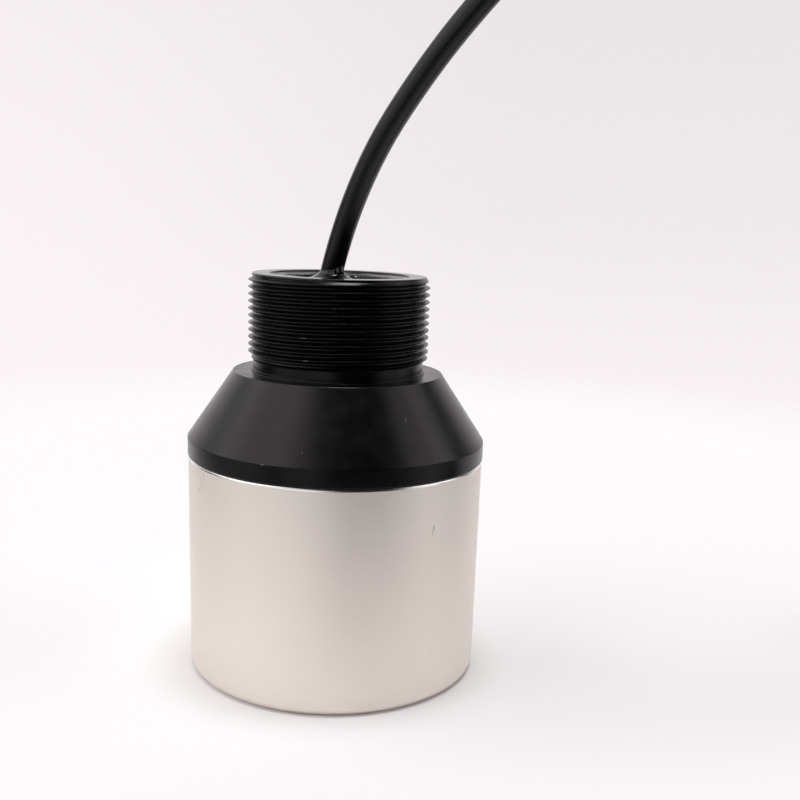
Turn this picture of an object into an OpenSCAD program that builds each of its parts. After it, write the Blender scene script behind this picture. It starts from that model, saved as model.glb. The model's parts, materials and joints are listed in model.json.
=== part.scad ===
/* [Cup] */
// Outer diameter of the cup
cup_od = 99; // [92:0.5:120]
// Height of the cup, from the radiating face to the joint with the cap
cup_h = 73.8; // [66:0.1:110]
// Thickness of the cup's side wall
cup_wall = 2.5; // [1.5:0.1:3]
// Thickness of the radiating face
face_t = 3; // [2:0.1:3.8]
// Radius of the rounded edge around the face
face_edge_r = 3; // [1:0.1:4]
// Chamfer on the cup's open edge
cup_chamfer = 0.4; // [0.1:0.05:0.8]

/* [Cap] */
// How far the cap's skirt stands proud of the cup
skirt_proud = 0.2; // [0:0.05:1]
// Height of the cap's straight skirt
skirt_h = 5.8; // [5:0.1:12]
// Height of the cap's cone
cone_h = 22; // [21:0.5:40]
// Radius of the shoulder at the top of the cone
shoulder_r = 34.7; // [33.5:0.1:37]
// Thickness of the cap's conical wall
cone_wall = 4; // [3:0.1:5]
// Height of the low collar at the foot of the neck
collar_h = 0.75; // [0.4:0.05:1.5]
// How far the collar stands proud of the neck's relief
collar_proud = 0.55; // [0.2:0.05:1]
// Depth of the spigot that enters the cup
spigot_h = 8; // [6:0.1:9]
// Wall of the spigot
spigot_wall = 3.05; // [2.8:0.05:3.6]
// Gap between the spigot and the cup's bore
spigot_gap = 0.15; // [0.05:0.05:0.2]
// Radius of the seal ring's section
seal_r = 0.8; // [0.7:0.05:0.9]
// Clearance of the seal ring in its groove
seal_gap = 0.03; // [0.01:0.01:0.05]
// Width of the seal groove beyond the ring's section
seal_groove_extra = 0.6; // [0.2:0.1:1]
// Rise of the board's ledge above the joint
ledge_rise = 6.5; // [6:0.1:7.5]
// Width of the board's ledge
ledge_w = 2.8; // [2:0.1:3.5]

/* [Neck] */
// Crest diameter of the neck's thread
thread_od = 59.6; // [56:0.1:62]
// Pitch of the thread
thread_pitch = 2.309; // [2:0.001:2.4]
// Depth of the thread
thread_depth = 1.479; // [1.2:0.001:1.55]
// Number of full ridges
thread_ridges = 10; // [6:1:10]
// Height of the neck above the shoulder
neck_h = 31.7; // [30:0.1:45]
// Height of the chamfer at the neck's mouth
rim_chamfer_h = 2.2; // [1:0.1:2.4]
// How far the chamfer cuts in from the thread's crest
rim_chamfer_w = 1.4; // [0.8:0.1:1.45]
// Depth from the rim to the centre of the first full crest
first_crest_depth = 4.1; // [3.8:0.05:5]
// How much the relief below the thread is smaller than its root
relief_under = 0.12; // [0.02:0.01:0.4]
// Bore diameter of the neck
neck_bore = 45.6; // [42:0.1:48]

/* [Potting] */
// Depth of the potting's surface below the rim
potting_drop = 1.4; // [0.5:0.1:4]
// Gap left where the potting shrinks from a wall
potting_gap = 0.02; // [0.01:0.01:0.05]
// Radius of the raised collar of potting around the cable
meniscus_r = 3.2; // [1:0.1:4]
// Height of the raised edge of potting along the bore
edge_rise = 0.5; // [0.2:0.1:0.8]
// Thickness of the dam's plug in the bore
dam_h = 3; // [2:0.1:5]
// Thickness of the dam's flange
dam_flange_t = 1.5; // [1:0.1:1.6]
// Width of the dam's flange
dam_flange_w = 2; // [1:0.1:4]
// Clearance of the dam in the bore
dam_gap = 0.05; // [0.02:0.01:0.1]

/* [Transducer] */
// Thickness of the bond under the front mass
bond_t = 0.2; // [0.1:0.05:0.4]
// Radius of the front mass at its foot
front_r = 29.5; // [24:0.1:34]
// Height of the front mass
front_h = 32; // [26:0.1:33]
// Height of the front mass's straight foot
front_foot_h = 5.8; // [3:0.1:10]
// Outer radius of the ceramic rings
piezo_r = 19; // [16:0.1:20]
// Clearance of the ceramic rings around the sleeve
piezo_gap = 0.25; // [0.1:0.05:0.5]
// Thickness of one ceramic ring
piezo_t = 5; // [4:0.1:5.5]
// Thickness of an electrode sheet
electrode_t = 0.25; // [0.1:0.05:0.4]
// Reach of an electrode's tab beyond the rings
tab_reach = 5; // [4.5:0.1:5.6]
// Width of an electrode's tab
tab_w = 5; // [4:0.1:8]
// Depth of the tail mass's top below the cup's open edge
tail_depth = 10.1; // [8.8:0.1:16]
// Nominal diameter of the clamp bolt
bolt_d = 10; // [8:0.1:11]
// Clearance of the bolt in its thread
bolt_thread_gap = 0.03; // [0.02:0.01:0.06]
// Clearance of the bolt in the tail mass
bolt_gap = 0.3; // [0.1:0.05:0.5]
// Length of the bolt in the front mass
bolt_grip = 20; // [12:0.5:22]
// Wall of the insulating sleeve around the bolt
sleeve_wall = 2.1; // [1:0.1:2.2]
// Clearance around and above the sleeve
sleeve_gap = 0.15; // [0.05:0.05:0.3]
// Thickness of the washer under the bolt's head
washer_t = 2; // [1:0.1:2.5]
// Outer radius of the washer
washer_r = 9; // [8.8:0.1:11]
// Radius of the bolt's head
head_r = 8; // [7.5:0.1:8.4]
// Height of the bolt's head
head_h = 10; // [6:0.1:11]
// Width across the flats of the head's socket
head_socket = 8; // [5:0.1:9]
// Depth of the head's socket
head_socket_h = 5; // [3:0.1:6]

/* [Foam] */
// Gap between the foam and what it surrounds
foam_gap = 0.3; // [0.1:0.05:0.5]
// Room in the foam outside the electrodes' tabs, around the ceramic rings and the tail mass
tab_room = 1.5; // [1.2:0.1:4]
// Rise of the foam jacket above the tail mass
jacket_rise = 0.6; // [0.2:0.1:1]

/* [Electronics] */
// Thickness of the circuit board
board_t = 1.6; // [1:0.1:2]
// Clearance around the circuit board
board_gap = 0.4; // [0.2:0.05:0.6]
// Outer diameter of the transformer's core
core_d = 22; // [20:0.5:24]
// Height of the transformer's core
core_h = 13; // [11:0.1:14]
// Radius of the core's middle post
core_post_r = 4.7; // [4.4:0.1:5]
// Radius of the core's winding space
core_window_r = 8.95; // [8.5:0.05:9.2]
// Thickness of the core's end walls
core_end_t = 2.1; // [1.8:0.1:2.6]
// Clearance of the bobbin in the core
bobbin_gap = 0.1; // [0.05:0.05:0.2]
// Wall of the bobbin
bobbin_wall = 0.7; // [0.5:0.1:0.9]
// Diameter of the transformer's screw
screw_d = 4; // [3:0.1:4.2]
// Clearance of the transformer's screw
screw_gap = 0.15; // [0.1:0.05:0.25]
// Side of the tuning capacitor's body
cap_l = 18; // [12:0.5:20]
// Width of the tuning capacitor's body
cap_w = 8; // [5:0.5:10]
// Height of the tuning capacitor's body
cap_h = 14; // [8:0.5:15]
// Radius of a component's leg
leg_r = 0.4; // [0.3:0.05:0.5]
// Length of a component's leg below the board
leg_below = 1; // [0.5:0.1:1.4]
// Clearance of a leg or a wire in its hole
wire_gap = 0.15; // [0.05:0.05:0.25]
// Radius of the temperature sensor's case
sensor_r = 2.5; // [2:0.1:3]
// Height of the temperature sensor's case
sensor_h = 12; // [8:0.5:16]
// Radius of a sensor wire
sensor_wire_r = 0.5; // [0.3:0.05:0.6]
// Radius of an electrode's lead
lead_r = 0.8; // [0.5:0.05:1]

/* [Cable] */
// Outer diameter of the cable's jacket
cable_d = 7.5; // [7:0.1:8]
// Clearance between the cable and the potting
cable_gap = 0.05; // [0.02:0.01:0.1]
// Radius of an insulated core
core_r = 0.85; // [0.6:0.05:0.95]
// Distance of the cores from the cable's axis
core_ring_r = 2.2; // [1.9:0.05:2.5]
// Thickness of the strain tie's band
tie_t = 1.2; // [0.8:0.1:1.5]
// Width of the strain tie's band
tie_w = 3.6; // [2.5:0.1:4.8]
// Radius of the middle of the coil's section
coil_r = 39.5; // [36:0.5:44]
// Number of turns beside each other in the coil
coil_wide = 2; // [2:1:2]
// Number of turns above each other in the coil
coil_high = 3; // [3:1:3]
// Thickness of the coil's tie
coil_tie_t = 1; // [0.6:0.1:1.2]
// Width of the coil's tie
coil_tie_w = 4.8; // [3:0.1:8]
// Gap between the coil and what lies on it or around it
lay_gap = 0.1; // [0.05:0.05:0.2]
// Length of the stripped cores at the cable's end
end_l = 32; // [20:1:36]
// Length of the bare tip on each stripped core
bare_l = 7; // [4:0.5:9]
// Radius of the bare, tinned strands
bare_r = 0.6; // [0.4:0.05:0.7]

/* [Hidden] */
$fn = 96;
solder_h = 0.4;

// Radii and heights of the cup and the cap
cup_r = cup_od / 2;
bore_r = cup_r - cup_wall;
skirt_r = cup_r + skirt_proud;
skirt_z = cup_h + skirt_h;
shoulder_z = skirt_z + cone_h;
spigot_r = bore_r - spigot_gap;
seat_r = spigot_r - spigot_wall;
spigot_z = cup_h - spigot_h;
groove_r = bore_r - 2 * (seal_r + seal_gap);
seal_z = cup_h - spigot_h / 2;
groove_half = seal_r + seal_groove_extra / 2;
ledge_z = cup_h + ledge_rise;
ledge_r = seat_r - ledge_w;
cone_slope = (skirt_r - shoulder_r) / cone_h;
hollow_foot_r = skirt_r - cone_wall * sqrt(1 + cone_slope * cone_slope);
ceiling_z = shoulder_z - cone_wall;
ceiling_r = hollow_foot_r - cone_slope * (ceiling_z - skirt_z);
ledge_top_z = skirt_z + (hollow_foot_r - ledge_r) / cone_slope;

// Radii and heights of the neck
crest_r = thread_od / 2;
root_r = crest_r - thread_depth;
relief_r = root_r - relief_under;
collar_r = relief_r + collar_proud;
rim_z = shoulder_z + neck_h;
neck_r = neck_bore / 2;
first_crest_z = rim_z - first_crest_depth;
crest_flat = thread_pitch / 2 - thread_depth * tan(27.5);
runout_z = first_crest_z - thread_ridges * thread_pitch;
runout_depth = 0.55 * thread_depth;

// Levels of the transducer's stack, from the face upwards
bond_z = face_t;
front_z = bond_z + bond_t;
lower_z = front_z + front_h;
live_z = lower_z + piezo_t;
upper_z = live_z + electrode_t;
ground_z = upper_z + piezo_t;
tail_z = ground_z + electrode_t;
washer_z = cup_h - tail_depth;
tail_h = washer_z - tail_z;
head_z = washer_z + washer_t;
head_top_z = head_z + head_h;
bolt_r = bolt_d / 2;
bore_spare = 2;
drill_point = 0.6;
mass_chamfer = 0.5;
sleeve_bore_r = bolt_r + sleeve_gap;
sleeve_r = sleeve_bore_r + sleeve_wall;
piezo_bore_r = sleeve_r + piezo_gap;
tab_r = piezo_r + tab_reach;
stack_room_r = tab_r + tab_room;
lead_at_r = tab_r - 2;
live_angle = 205;
ground_angle = 290;

// Levels of the foam and the board
jacket_z = washer_z + jacket_rise;
foam_r = bore_r - foam_gap;
disc_r = seat_r - foam_gap;
board_z = ledge_z - board_t;
board_r = seat_r - board_gap;

// Places and small sizes on the board
core_at = [14, -9];
core_slot_w = 3;
bobbin_h = core_h - 2 * core_end_t - 2 * bobbin_gap;
bobbin_z = ledge_z + core_end_t + bobbin_gap;
winding_under = 0.4;
screw_head_h = 1.2;
screw_head_over = 1.5;
screw_below = 0.8;
nut_h = 2;
nut_flats = 7;
tuning_at = [-16, -14];
tuning_angle = 40;
cap_edge = 1;
leg_spacing = cap_l - 3;
sensor_from_wall = 9;
sensor_at_r = bore_r - sensor_from_wall;
sensor_angle = 60;
sensor_wire_step = 2.4;
sensor_wires_r = sensor_wire_step / 2 + sensor_wire_r;
pads_y = 24;
pad_step = 5;
pad_first_x = -22;
pad_rise = 4;

// Route of the cable: out of the potting, over in one arch and down to the coil
cable_r = cable_d / 2;
cable_sides = 12;
cable_route = [
    [-8, 9, 110], [-2, 3, 137], [4.1, -2.6, 157], [12.1, -9.4, 175], [22.8, -16.9, 192.2],
    [34.8, -25, 208.1], [48.6, -33, 223], [67, -40, 237], [89, -44, 245.8], [113.5, -45, 245.8],
    [136.5, -44.5, 236], [154.5, -44, 217.5], [167, -44, 190], [174.5, -44, 158],
    [178.7, -44, 124], [181.5, -44.2, 92], [185.5, -44.5, 64], [195, -45, 42],
    [209, -45.4, 30], [221.5, -45.6, 26.8]
];
jacket_end = cable_route[0];
jacket_way = cable_route[1] - cable_route[0];
jacket_tilt = acos(jacket_way[2] / norm(jacket_way));
jacket_turn = atan2(jacket_way[1], jacket_way[0]);
straight_share = 0.95;
strain_tie_up = 2;
potting_z = rim_z - potting_drop;
dam_z = ceiling_z + dam_h;

// The coil that the cable ends in, beside the housing
coil_at = [240, -2];
coil_edge = 2;
coil_top = coil_high * cable_d;
coil_outer_r = coil_r + cable_r * coil_wide;
coil_inner_r = coil_r - cable_r * coil_wide;
lead_turn_r = coil_outer_r - cable_r;
tail_turn_r = coil_inner_r + cable_r - 4 * lay_gap;
on_coil_z = coil_top + cable_r + lay_gap;
lead_lands_at = 262;
lead_ends_at = 330;
landing_parts = 4;
tail_starts_at = 190;
tail_sweep = 145;
coil_tie_at = 60;
coil_tie_notch = coil_tie_t + lay_gap;
tie_head_t = 4.5;
tie_head_w = 5.5;
end_droop = 0.85;
end_spread = 0.6;
end_step = 2.6;

// A ring, and a rectangle with cut corners
module ring(outer, inner, height) {
    difference() {
        cylinder(r = outer, h = height);
        translate([0, 0, -1]) cylinder(r = inner, h = height + 2);
    }
}

module cut_corners(width, height, cut) {
    w = width / 2;
    h = height / 2;
    polygon([
        [-w + cut, -h], [w - cut, -h], [w, -h + cut], [w, h - cut],
        [w - cut, h], [-w + cut, h], [-w, h - cut], [-w, -h + cut]
    ]);
}

// Places in the cable's own frame, at an angle around an axis, and on the coil
module along_cable() {
    translate(jacket_end) rotate([0, jacket_tilt, jacket_turn]) children();
}

module at_polar(radius, angle) {
    rotate([0, 0, angle]) translate([radius, 0, 0]) children();
}

function on_cable(radius, angle, up) =
    let (w = unit(jacket_way), v = [-sin(jacket_turn), cos(jacket_turn), 0], u = cross(v, w))
    jacket_end + up * w + radius * (cos(angle) * u + sin(angle) * v);
function on_coil(radius, angle, z) =
    [coil_at[0] + radius * cos(angle), coil_at[1] + radius * sin(angle), z];

// A round tube swept along a smooth line through points
function unit(v) = v / norm(v);
function spline(a, b, c, d, t) = 0.5 * (2 * b + (c - a) * t + (2 * a - 5 * b + 4 * c - d) * t * t
    + (3 * b - a - 3 * c + d) * t * t * t);
function smooth(points, steps) = let (n = len(points) - 1) [
    for (i = [0 : n - 1], s = [0 : steps - 1])
        spline(points[max(i - 1, 0)], points[i], points[i + 1], points[min(i + 2, n)], s / steps),
    points[n]
];
function way(points, i) = let (n = len(points) - 1)
    unit(points[min(i + 1, n)] - points[max(i - 1, 0)]);
function carried(u, w) = unit(u - (u * w) * w);
function frames(points, i = 0, before = [0.2, 1, 0.1]) = i == len(points) ? [] :
    let (u = carried(before, way(points, i))) concat([u], frames(points, i + 1, u));
function section(point, w, u, radius, sides) = let (v = cross(w, u)) [
    for (k = [0 : sides - 1])
        point + radius * (cos(360 * k / sides) * u + sin(360 * k / sides) * v)
];

module tube(points, radii, sides) {
    us = frames(points);
    n = len(points);
    skin = [for (i = [0 : n - 1]) each section(points[i], way(points, i), us[i], radii[i], sides)];
    walls = [
        for (i = [0 : n - 2], k = [0 : sides - 1]) let (j = (k + 1) % sides)
            [i * sides + k, (i + 1) * sides + k, (i + 1) * sides + j, i * sides + j]
    ];
    first = [for (k = [0 : sides - 1]) k];
    last = [for (k = [sides - 1 : -1 : 0]) (n - 1) * sides + k];
    polyhedron(skin, concat(walls, [first, last]), convexity = 10);
}

function eased(t) = let (s = min(1, t)) s * s * (3 - 2 * s);
function even(points, radius) = [for (p = points) radius];

// The aluminium cup, one piece with its radiating face
module housing_cup() {
    color("silver") rotate_extrude() difference() {
        union() {
            square([cup_r - face_edge_r, cup_h]);
            translate([cup_r - face_edge_r, face_edge_r]) circle(r = face_edge_r);
            translate([0, face_edge_r]) square([cup_r, cup_h - face_edge_r - cup_chamfer]);
            polygon([
                [0, cup_h - cup_chamfer], [cup_r, cup_h - cup_chamfer],
                [cup_r - cup_chamfer, cup_h], [0, cup_h]
            ]);
        }
        translate([0, face_t]) square([bore_r, cup_h]);
    }
}

// Half section of one thread ridge, cut down to a part of its depth
module ridge(z, depth) {
    half = crest_flat / 2;
    base = half + depth * tan(27.5);
    polygon([
        [0, z - base], [root_r, z - base], [root_r + depth, z - half],
        [root_r + depth, z + half], [root_r, z + base], [0, z + base]
    ]);
}

// Half section of the cap's outer form, from its spigot up to the rim
module cap_outside() {
    translate([0, spigot_z]) square([spigot_r, spigot_h]);
    translate([0, cup_h]) square([skirt_r, skirt_h]);
    polygon([[0, skirt_z], [skirt_r, skirt_z], [shoulder_r, shoulder_z], [0, shoulder_z]]);
    translate([0, shoulder_z]) square([collar_r, collar_h]);
    translate([0, shoulder_z]) square([relief_r, neck_h]);
    difference() {
        union() {
            translate([0, runout_z]) square([root_r, rim_z - runout_z]);
            ridge(runout_z, runout_depth);
            for (i = [-1 : thread_ridges - 1]) ridge(first_crest_z - i * thread_pitch, thread_depth);
        }
        polygon([
            [crest_r - rim_chamfer_w, rim_z], [crest_r + rim_chamfer_w, rim_z - 2 * rim_chamfer_h],
            [crest_r + rim_chamfer_w, rim_z + 1], [0, rim_z + 1], [0, rim_z]
        ]);
    }
}

// Half section of the cap's hollow
module cap_inside() {
    translate([0, spigot_z - 1]) square([seat_r, ledge_z - spigot_z + 1]);
    polygon([
        [0, ledge_z - 1], [ledge_r, ledge_z - 1], [ledge_r, ledge_top_z],
        [ceiling_r, ceiling_z], [0, ceiling_z]
    ]);
    square([neck_r, rim_z + 1]);
}

// The black cap, one piece with its cone and threaded neck
module housing_cap() {
    color("dimgray") rotate_extrude() difference() {
        cap_outside();
        cap_inside();
        translate([groove_r, seal_z - groove_half]) square([spigot_r, 2 * groove_half]);
    }
}

module housing_seal_ring() {
    color("saddlebrown") rotate_extrude()
        translate([groove_r + seal_gap + seal_r, seal_z]) circle(r = seal_r);
}

// Adhesive between the front mass and the radiating face
module face_bond() {
    color("tan") translate([0, 0, bond_z]) cylinder(r = front_r, h = bond_t);
}

module front_mass() {
    bore_depth = bolt_grip + bore_spare;
    drill_r = bolt_r + bolt_thread_gap;
    color("lightgray") translate([0, 0, front_z]) difference() {
        rotate_extrude() polygon([
            [0, 0], [front_r, 0], [front_r, front_foot_h], [piezo_r, front_h], [0, front_h]
        ]);
        translate([0, 0, front_h - bore_depth]) cylinder(r = drill_r, h = bore_depth + 1);
        translate([0, 0, front_h - bore_depth - drill_r * drill_point])
            cylinder(r1 = 0, r2 = drill_r, h = drill_r * drill_point);
    }
}

module piezo_ring_lower() {
    color("darkkhaki") translate([0, 0, lower_z]) ring(piezo_r, piezo_bore_r, piezo_t);
}

module piezo_ring_upper() {
    color("darkkhaki") translate([0, 0, upper_z]) ring(piezo_r, piezo_bore_r, piezo_t);
}

// A thin ring with a solder tab
module electrode(z, angle) {
    translate([0, 0, z]) rotate([0, 0, angle]) linear_extrude(electrode_t) difference() {
        union() {
            circle(r = piezo_r);
            translate([0, -tab_w / 2]) square([tab_r, tab_w]);
        }
        circle(r = piezo_bore_r);
        translate([lead_at_r, 0]) circle(r = lead_r + wire_gap);
    }
}

module electrode_live() {
    color("gold") electrode(live_z, live_angle);
}

module electrode_ground() {
    color("gold") electrode(ground_z, ground_angle);
}

module insulating_sleeve() {
    color("white") translate([0, 0, lower_z])
        ring(sleeve_r, sleeve_bore_r, tail_z - lower_z - sleeve_gap);
}

module tail_mass() {
    bore = bolt_r + bolt_gap;
    color("slategray") translate([0, 0, tail_z]) rotate_extrude() polygon([
        [bore, 0], [piezo_r, 0], [piezo_r, tail_h - mass_chamfer],
        [piezo_r - mass_chamfer, tail_h], [bore, tail_h]
    ]);
}

module bolt_washer() {
    color("silver") translate([0, 0, washer_z]) ring(washer_r, bolt_r + bolt_gap, washer_t);
}

module clamp_bolt() {
    color("dimgray") difference() {
        union() {
            translate([0, 0, lower_z - bolt_grip])
                cylinder(r = bolt_r, h = head_z - lower_z + bolt_grip);
            translate([0, 0, head_z]) cylinder(r = head_r, h = head_h);
        }
        translate([0, 0, head_top_z - head_socket_h])
            cylinder(r = head_socket / sqrt(3), h = head_h, $fn = 6);
    }
}

// The moulded foam that stands around the stack and damps the cup
module foam_jacket() {
    color("beige") difference() {
        rotate_extrude() polygon([
            [front_r + foam_gap, face_t], [foam_r, face_t], [foam_r, jacket_z],
            [stack_room_r, jacket_z], [stack_room_r, lower_z], [piezo_r + foam_gap, lower_z],
            [front_r + foam_gap, front_z + front_foot_h]
        ]);
        at_polar(sensor_at_r, sensor_angle) {
            cylinder(r = sensor_r + foam_gap, h = face_t + sensor_h + foam_gap);
            cylinder(r = sensor_wires_r + foam_gap, h = jacket_z + 1);
        }
    }
}

// The foam disc that presses the board against its ledge
module foam_disc() {
    color("wheat") difference() {
        translate([0, 0, jacket_z]) cylinder(r = disc_r, h = board_z - jacket_z);
        cylinder(r = washer_r + foam_gap, h = head_top_z + foam_gap);
        at_polar(lead_at_r, live_angle) cylinder(r = lead_r + foam_gap, h = ledge_z);
        at_polar(lead_at_r, ground_angle) cylinder(r = lead_r + foam_gap, h = ledge_z);
        at_polar(sensor_at_r, sensor_angle) cylinder(r = sensor_wires_r + foam_gap, h = ledge_z);
        translate([core_at[0], core_at[1], board_z - nut_h - screw_below - foam_gap])
            cylinder(r = nut_flats / sqrt(3) + foam_gap, h = ledge_z);
        legs() translate([0, 0, board_z - leg_below - foam_gap])
            cylinder(r = leg_r + foam_gap, h = ledge_z);
    }
}

// Both places of the tuning capacitor's legs
module legs() {
    translate([tuning_at[0], tuning_at[1], 0]) rotate([0, 0, tuning_angle])
        for (side = [-1, 1]) translate([side * leg_spacing / 2, 0, 0]) children();
}

module circuit_board() {
    color("darkgreen") difference() {
        translate([0, 0, board_z]) cylinder(r = board_r, h = board_t);
        translate([core_at[0], core_at[1], 0]) cylinder(r = screw_d / 2 + screw_gap, h = rim_z);
        legs() cylinder(r = leg_r + wire_gap, h = rim_z);
        at_polar(lead_at_r, live_angle) cylinder(r = lead_r + wire_gap, h = rim_z);
        at_polar(lead_at_r, ground_angle) cylinder(r = lead_r + wire_gap, h = rim_z);
        at_polar(sensor_at_r, sensor_angle) for (side = [-1, 1])
            translate([0, side * sensor_wire_step / 2, 0])
                cylinder(r = sensor_wire_r + wire_gap, h = rim_z);
    }
}

// Lower half of the transformer's pot core, with its two wire slots
module core_half() {
    half_h = core_h / 2;
    difference() {
        cylinder(r = core_d / 2, h = half_h);
        translate([0, 0, core_end_t]) ring(core_window_r, core_post_r, half_h);
        translate([0, 0, -1]) cylinder(r = screw_d / 2 + screw_gap, h = core_h);
        for (side = [0, 180]) rotate([0, 0, side])
            translate([core_window_r - 1, -core_slot_w / 2, core_end_t])
                cube([core_d, core_slot_w, half_h]);
    }
}

module transformer_core_lower() {
    color("black") translate([core_at[0], core_at[1], ledge_z]) core_half();
}

module transformer_core_upper() {
    color("black") translate([core_at[0], core_at[1], ledge_z + core_h])
        mirror([0, 0, 1]) core_half();
}

module transformer_bobbin() {
    flange_r = core_window_r - bobbin_gap;
    hub_r = core_post_r + bobbin_gap;
    color("ivory") translate([core_at[0], core_at[1], bobbin_z]) difference() {
        cylinder(r = flange_r, h = bobbin_h);
        translate([0, 0, -1]) cylinder(r = hub_r, h = core_h);
        translate([0, 0, bobbin_wall]) ring(core_d, hub_r + bobbin_wall, bobbin_h - 2 * bobbin_wall);
    }
}

module transformer_winding() {
    inside = core_post_r + 2 * bobbin_gap + bobbin_wall;
    room = bobbin_h - 2 * bobbin_wall;
    color("chocolate")
        translate([core_at[0], core_at[1], bobbin_z + bobbin_wall + bobbin_gap])
            ring(core_window_r - 2 * bobbin_gap - winding_under, inside, room - 2 * bobbin_gap);
}

module transformer_screw() {
    color("gold") translate([core_at[0], core_at[1], 0]) {
        translate([0, 0, board_z - nut_h - screw_below])
            cylinder(r = screw_d / 2, h = ledge_z - board_z + core_h + nut_h + screw_below);
        translate([0, 0, ledge_z + core_h]) cylinder(r = screw_d / 2 + screw_head_over, h = screw_head_h);
    }
}

module transformer_nut() {
    color("gold") translate([core_at[0], core_at[1], board_z - nut_h]) difference() {
        cylinder(r = nut_flats / sqrt(3), h = nut_h, $fn = 6);
        translate([0, 0, -1]) cylinder(r = screw_d / 2 + bolt_thread_gap, h = nut_h + 2);
    }
}

module tuning_capacitor() {
    color("firebrick") {
        translate([tuning_at[0], tuning_at[1], ledge_z]) rotate([0, 0, tuning_angle])
            linear_extrude(cap_h) cut_corners(cap_l, cap_w, cap_edge);
        legs() translate([0, 0, board_z - leg_below])
            cylinder(r = leg_r, h = board_t + leg_below + cap_edge);
    }
}

module temperature_sensor() {
    color("orange") at_polar(sensor_at_r, sensor_angle) translate([0, 0, face_t])
        rotate_extrude() polygon([
            [0, 0], [sensor_r, 0], [sensor_r, sensor_h - mass_chamfer],
            [sensor_wires_r, sensor_h], [0, sensor_h]
        ]);
}

module sensor_wires() {
    foot = face_t + sensor_h;
    color("white") at_polar(sensor_at_r, sensor_angle) for (side = [-1, 1])
        translate([0, side * sensor_wire_step / 2, foot])
            cylinder(r = sensor_wire_r, h = ledge_z + solder_h - foot);
}

// A lead from below an electrode's tab up through the board
module lead(z, angle) {
    at_polar(lead_at_r, angle) translate([0, 0, z - solder_h])
        cylinder(r = lead_r, h = ledge_z - z + 2 * solder_h);
}

module live_lead() {
    color("red") lead(live_z, live_angle);
}

module ground_lead() {
    color("black") lead(ground_z, ground_angle);
}

// The cores' straight bores, from the jacket's end downwards
module core_bores() {
    along_cable() for (k = [0 : 4]) rotate([0, 0, 72 * k])
        translate([core_ring_r, 0, -rim_z / 4]) cylinder(r = core_r + cable_gap, h = rim_z / 4);
}

// The plug that keeps the liquid potting out of the housing
module potting_dam() {
    color("gray") difference() {
        union() {
            translate([0, 0, ceiling_z - dam_flange_t])
                cylinder(r = neck_r + dam_flange_w, h = dam_flange_t);
            translate([0, 0, ceiling_z]) cylinder(r = neck_r - dam_gap, h = dam_h);
        }
        core_bores();
    }
}

// Band and head of the strain tie, grown by a gap for its room in the potting
module tie_shape(grow) {
    along_cable() translate([0, 0, strain_tie_up - grow]) {
        cylinder(r = cable_r + cable_gap + tie_t + grow, h = tie_w + 2 * grow);
        translate([0, -tie_w / 2 - grow, 0])
            cube([cable_r + 2 * tie_t + tie_w / 2 + grow, tie_w + 2 * grow, tie_w + 2 * grow]);
    }
}

module cable_bore() {
    along_cable() translate([0, 0, -potting_gap]) cylinder(r = cable_r + cable_gap, h = rim_z);
}

// The black casting resin that fills the neck and holds the cable
module potting() {
    exit = jacket_end + jacket_way * (potting_z - jacket_end[2]) / jacket_way[2];
    wall_r = neck_r - potting_gap;
    foot_r = cable_r / cos(jacket_tilt) + meniscus_r;
    color("black") difference() {
        union() {
            translate([0, 0, dam_z]) cylinder(r = wall_r, h = potting_z - dam_z);
            translate([exit[0], exit[1], potting_z]) rotate_extrude() difference() {
                square([foot_r, meniscus_r]);
                translate([foot_r, meniscus_r]) circle(r = meniscus_r);
            }
            translate([0, 0, potting_z]) rotate_extrude() difference() {
                translate([wall_r - edge_rise, 0]) square(edge_rise);
                translate([wall_r - edge_rise, edge_rise]) circle(r = edge_rise);
            }
        }
        cable_bore();
        core_bores();
        tie_shape(potting_gap);
    }
}

module strain_tie() {
    color("whitesmoke") difference() {
        tie_shape(0);
        cable_bore();
    }
}

// One core from the jacket's end straight through the dam, then in a slack bend to its pad
module core(k, pad, drop) {
    start = on_cable(core_ring_r, 72 * k, -potting_gap);
    below = on_cable(core_ring_r, 72 * k, -(jacket_end[2] - ceiling_z + dam_flange_t + 2));
    end = [pad_first_x + pad * pad_step, pads_y, ledge_z + cable_gap];
    slack = smooth([
        below, (2 * below + end) / 3 + [0, 0, 2 - drop], end + [0, 0, pad_rise],
        end + [0, 0, pad_rise / 2], end
    ], 3);
    points = concat([start], slack);
    tube(points, even(points, core_r), 8);
}

module core_red() {
    color("red") core(3, 0, -1);
}

module core_black() {
    color("black") core(4, 1, 2);
}

module core_white() {
    color("white") core(2, 2, -1);
}

module core_blue() {
    color("blue") core(0, 3, 2);
}

module shield_drain() {
    color("silver") core(1, 4, -1);
}

// The cable's jacket, up and over in one arch and down on the coil
module cable() {
    turn_step = (lead_ends_at - lead_lands_at) / landing_parts;
    landing = [for (a = [lead_lands_at : turn_step : lead_ends_at])
        on_coil(lead_turn_r, a, on_coil_z)];
    route = smooth(concat(cable_route, landing), 2);
    straight_end = jacket_end + straight_share * jacket_way;
    points = concat([jacket_end, straight_end], [for (i = [2 : len(route) - 1]) route[i]]);
    color("dimgray") tube(points, even(points, cable_r), cable_sides);
}

module cable_coil() {
    wide = coil_outer_r - coil_inner_r;
    color("dimgray") difference() {
        translate([coil_at[0], coil_at[1], 0]) rotate_extrude()
            translate([coil_r, coil_top / 2]) cut_corners(wide, coil_top, coil_edge);
        translate([coil_at[0], coil_at[1], -1]) at_polar(coil_r, coil_tie_at)
            translate([-wide, -coil_tie_w / 2 - lay_gap, 0])
                cube([2 * wide, coil_tie_w + 2 * lay_gap, coil_tie_notch + 1]);
    }
}

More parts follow.
